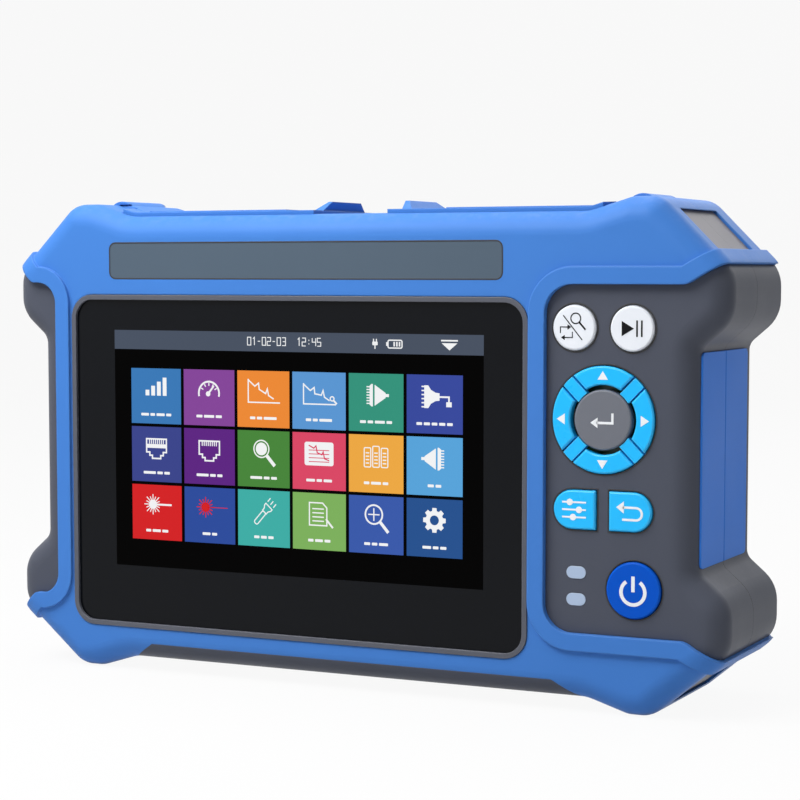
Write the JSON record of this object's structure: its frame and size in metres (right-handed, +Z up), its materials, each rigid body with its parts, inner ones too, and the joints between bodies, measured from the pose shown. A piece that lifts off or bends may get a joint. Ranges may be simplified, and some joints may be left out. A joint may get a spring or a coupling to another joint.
{
  "type": "optical time domain reflectometer",
  "caption": "Handheld optical fibre tester with touch screen, keypad, rubber-armoured corners, lidded ports on top and a folding stand at the back.",
  "frame": {"origin": "below the middle of the case, on the surface that it stands on", "axes": "+X to the right as seen from the front, +Y from the screen to the back, +Z up"},
  "size_m": [0.2886, 0.0702, 0.1802],
  "materials": {
    "blue_shell": "satin soft-touch",
    "grey_case": "satin, finely grained",
    "rim_plastic": "satin",
    "screen_glass": "gloss",
    "display": "gloss",
    "label_plastic": "satin",
    "key_light_blue": "semi-gloss",
    "key_grey": "semi-gloss",
    "key_white": "semi-gloss",
    "key_royal_blue": "semi-gloss",
    "lamp_clear": "gloss",
    "board": "satin",
    "switch_metal": "satin",
    "module_metal": "satin",
    "pin_steel": "satin",
    "tray_plastic": "matt",
    "port_metal": "satin nickel",
    "jack_metal": "satin",
    "battery_wrap": "satin"
  },
  "bodies": {
    "case": {"battery_door": "grey_case", "battery_pack": "battery_wrap", "charge_jack": "tray_plastic", "display_module": "display", "fault_locator_port": "port_metal", "front_bumper": "blue_shell", "front_case": "grey_case", "key_board": "board", "key_switches": "switch_metal", "label_plate": "label_plastic", "lamp_pipes": "lamp_clear", "lan_jack_1": "jack_metal", "lan_jack_2": "jack_metal", "left_door_pin": "pin_steel", "left_pad_front": "blue_shell", "left_pad_rear": "blue_shell", "main_board": "board", "nav_frame": "key_light_blue", "optical_module": "module_metal", "optical_tray": "tray_plastic", "otdr_port": "port_metal", "power_meter_port": "port_metal", "rear_bumper": "blue_shell", "rear_case": "grey_case", "right_door_pin": "pin_steel", "right_pad_front": "blue_shell", "right_pad_rear": "blue_shell", "screen_rim": "rim_plastic", "signal_tray": "tray_plastic", "speaker": "tray_plastic", "touch_glass": "screen_glass", "usb_jack": "jack_metal"},
    "up_key": {"key_up": "key_light_blue"},
    "down_key": {"key_down": "key_light_blue"},
    "left_key": {"key_left": "key_light_blue"},
    "right_key": {"key_right": "key_light_blue"},
    "enter_key": {"key_enter": "key_grey"},
    "search_key": {"key_search": "key_white"},
    "play_key": {"key_play": "key_white"},
    "set_key": {"key_set": "key_light_blue"},
    "escape_key": {"key_escape": "key_light_blue"},
    "power_key": {"key_power": "key_royal_blue"},
    "right_lid": {"right_door": "blue_shell"},
    "left_lid": {"left_door": "blue_shell"},
    "stand": {"kickstand": "grey_case"}
  },
  "joints": [
    {"name": "up_press", "type": "slide", "parent": "case", "child": "up_key", "axis": [0, 1, 0], "range_m": [0, 0.001], "stiffness_N_per_m": 1500},
    {"name": "down_press", "type": "slide", "parent": "case", "child": "down_key", "axis": [0, 1, 0], "range_m": [0, 0.001], "stiffness_N_per_m": 1500},
    {"name": "left_press", "type": "slide", "parent": "case", "child": "left_key", "axis": [0, 1, 0], "range_m": [0, 0.001], "stiffness_N_per_m": 1500},
    {"name": "right_press", "type": "slide", "parent": "case", "child": "right_key", "axis": [0, 1, 0], "range_m": [0, 0.001], "stiffness_N_per_m": 1500},
    {"name": "enter_press", "type": "slide", "parent": "case", "child": "enter_key", "axis": [0, 1, 0], "range_m": [0, 0.001], "stiffness_N_per_m": 1500},
    {"name": "search_press", "type": "slide", "parent": "case", "child": "search_key", "axis": [0, 1, 0], "range_m": [0, 0.001], "stiffness_N_per_m": 1500},
    {"name": "play_press", "type": "slide", "parent": "case", "child": "play_key", "axis": [0, 1, 0], "range_m": [0, 0.001], "stiffness_N_per_m": 1500},
    {"name": "set_press", "type": "slide", "parent": "case", "child": "set_key", "axis": [0, 1, 0], "range_m": [0, 0.001], "stiffness_N_per_m": 1500},
    {"name": "escape_press", "type": "slide", "parent": "case", "child": "escape_key", "axis": [0, 1, 0], "range_m": [0, 0.001], "stiffness_N_per_m": 1500},
    {"name": "power_press", "type": "slide", "parent": "case", "child": "power_key", "axis": [0, 1, 0], "range_m": [0, 0.001], "stiffness_N_per_m": 1500},
    {"name": "right_lid_hinge", "type": "hinge", "parent": "case", "child": "right_lid", "pos_m": [0.107, 0, 0.174], "axis": [0, 1, 0], "range_deg": [0, 110]},
    {"name": "left_lid_hinge", "type": "hinge", "parent": "case", "child": "left_lid", "pos_m": [-0.107, 0, 0.174], "axis": [0, -1, 0], "range_deg": [0, 110]},
    {"name": "stand_hinge", "type": "hinge", "parent": "case", "child": "stand", "pos_m": [0, 0.0324, 0.116], "axis": [1, 0, 0], "range_deg": [0, 50]}
  ]
}
